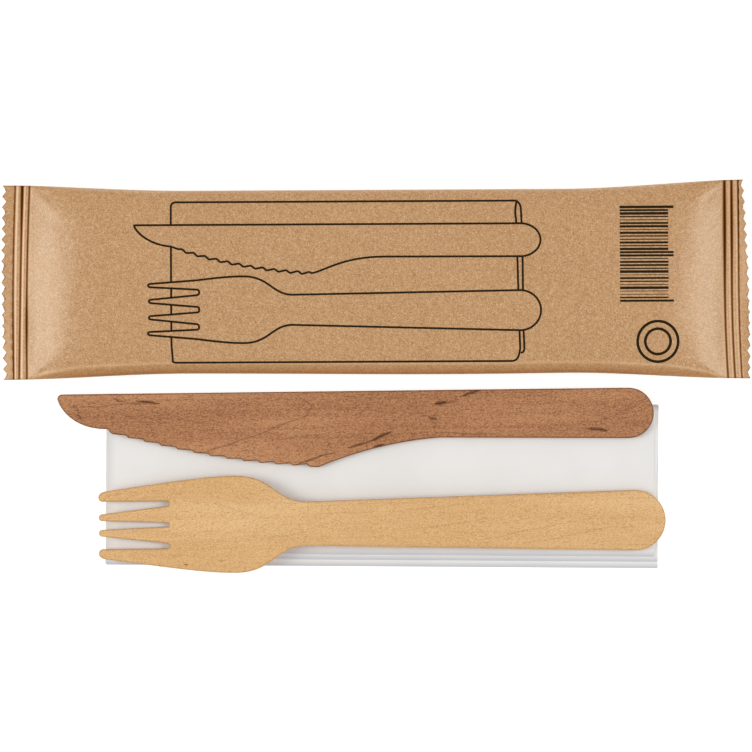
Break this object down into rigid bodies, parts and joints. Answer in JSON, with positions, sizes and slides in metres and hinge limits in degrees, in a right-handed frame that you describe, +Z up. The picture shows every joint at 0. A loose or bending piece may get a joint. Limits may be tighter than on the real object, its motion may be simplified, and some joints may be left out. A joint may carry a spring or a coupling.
{
  "type": "wooden cutlery pack",
  "caption": "Sealed kraft paper packet of disposable cutlery, with the same set laid out beside it: serrated wooden knife and wooden fork on a folded white napkin.",
  "frame": {"origin": "on the table, under the middle of the whole set's box", "axes": "+X along the packet and the cutlery, from the tines to the handles' ends; +Y from the laid-out set towards the packet; +Z up"},
  "size_m": [0.2078, 0.1088, 0.0086],
  "materials": {
    "kraft_paper": "uncoated brown kraft, matt, with fine fibres",
    "napkin_tissue": "soft white tissue, matt",
    "knife_wood": "reddish brown veneer, sanded, uncoated",
    "fork_wood": "pale birch veneer, sanded, uncoated"
  },
  "bodies": {
    "root": {"wrapper": "kraft_paper", "napkin": "napkin_tissue", "knife": "knife_wood", "fork": "fork_wood"}
  },
  "joints": []
}
